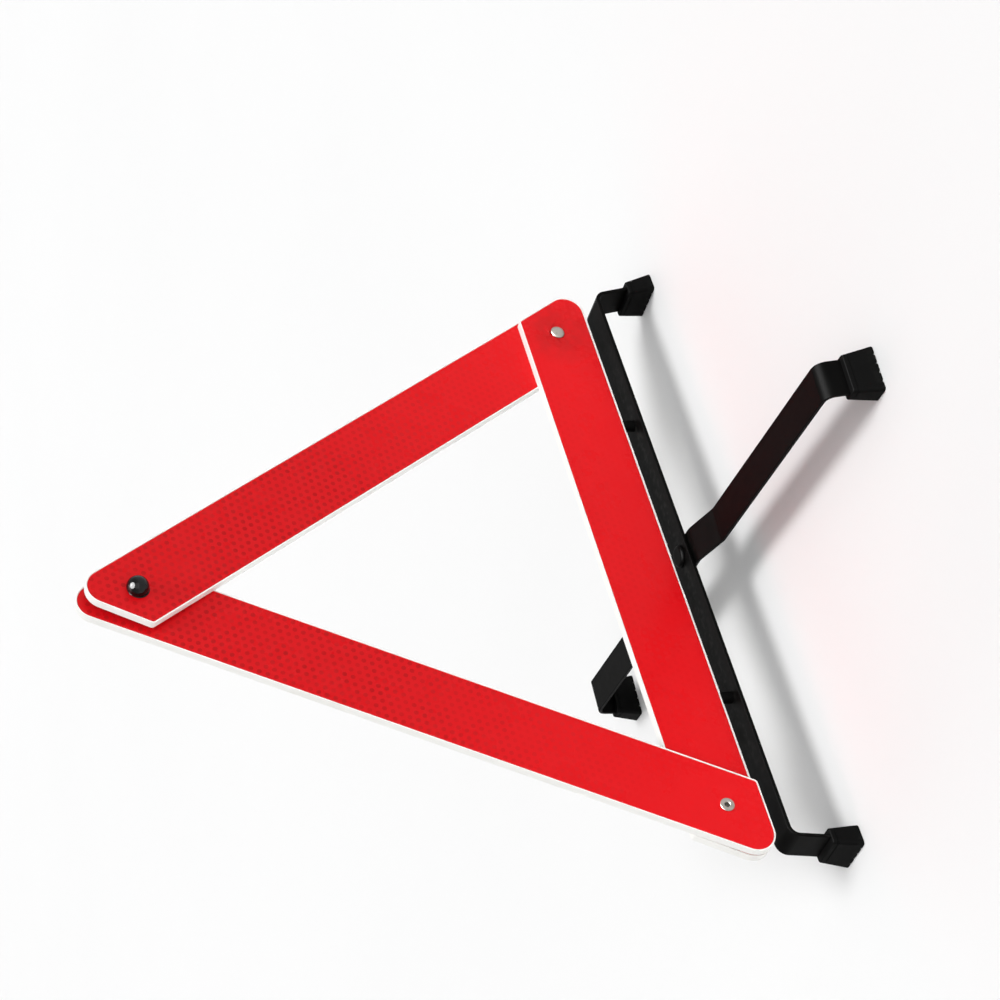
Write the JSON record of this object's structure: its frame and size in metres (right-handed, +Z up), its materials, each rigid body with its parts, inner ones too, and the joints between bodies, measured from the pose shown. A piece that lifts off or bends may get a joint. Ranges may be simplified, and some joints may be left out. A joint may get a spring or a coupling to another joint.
{
  "type": "warning triangle",
  "caption": "Folding roadside warning triangle: three red prismatic reflector arms that pivot and snap together at the apex, on a folding pair of crossed black legs with flared feet.",
  "frame": {"origin": "on the ground, midway between the four feet, under the swivel of the legs", "axes": "+X to the right along the base arm, +Y to the rear, +Z up; the lit side of the triangle faces -Y"},
  "size_m": [0.4642, 0.4594, 0.4469],
  "materials": {
    "red_reflector": "clear red prismatic reflector, glossy over a cell pattern",
    "white_plastic": "moulded white ABS, satin",
    "black_paint": "black powder-coated steel strap, semi-gloss",
    "black_plastic": "moulded black plastic, satin",
    "gloss_black": "polished black plastic",
    "rivet_steel": "zinc-plated steel",
    "nylon": "natural nylon"
  },
  "bodies": {
    "stand": {"base_arm": "white_plastic", "base_reflector": "red_reflector", "right_pivot_rivet": "rivet_steel", "right_backing_washer": "rivet_steel", "right_slip_washer": "nylon", "left_pivot_rivet": "rivet_steel", "left_backing_washer": "rivet_steel", "left_slip_washer": "nylon", "long_leg": "black_paint", "swivel_rivet": "black_paint", "swivel_wave_washer": "rivet_steel", "swivel_backing_washer": "rivet_steel", "leg_spacers": "black_plastic", "leg_screws": "rivet_steel", "left_foot": "black_plastic", "right_foot": "black_plastic"},
    "right_side": {"right_arm": "white_plastic", "right_reflector": "red_reflector", "snap_grommet": "gloss_black"},
    "left_side": {"left_arm": "white_plastic", "left_reflector": "red_reflector", "apex_stud": "rivet_steel", "apex_backing_washer": "rivet_steel", "apex_knob": "gloss_black"},
    "cross_leg": {"cross_leg": "black_paint", "front_foot": "black_plastic", "rear_foot": "black_plastic"}
  },
  "joints": [
    {"name": "right_arm_fold", "type": "hinge", "parent": "stand", "child": "right_side", "pos_m": [0.1917, 0.0067, 0.078], "axis": [0, -0.9994, -0.0341], "range_deg": [0, 60], "deforming": ["right_arm", "right_reflector", "snap_grommet"]},
    {"name": "left_arm_fold", "type": "hinge", "parent": "stand", "child": "left_side", "pos_m": [-0.1917, -0.0067, 0.078], "axis": [0, -0.9994, 0.0341], "range_deg": [-60, 0]},
    {"name": "cross_leg_swivel", "type": "hinge", "parent": "stand", "child": "cross_leg", "pos_m": [0, 0, 0.042], "axis": [0, 0, 1], "range_deg": [-72, 86]}
  ]
}
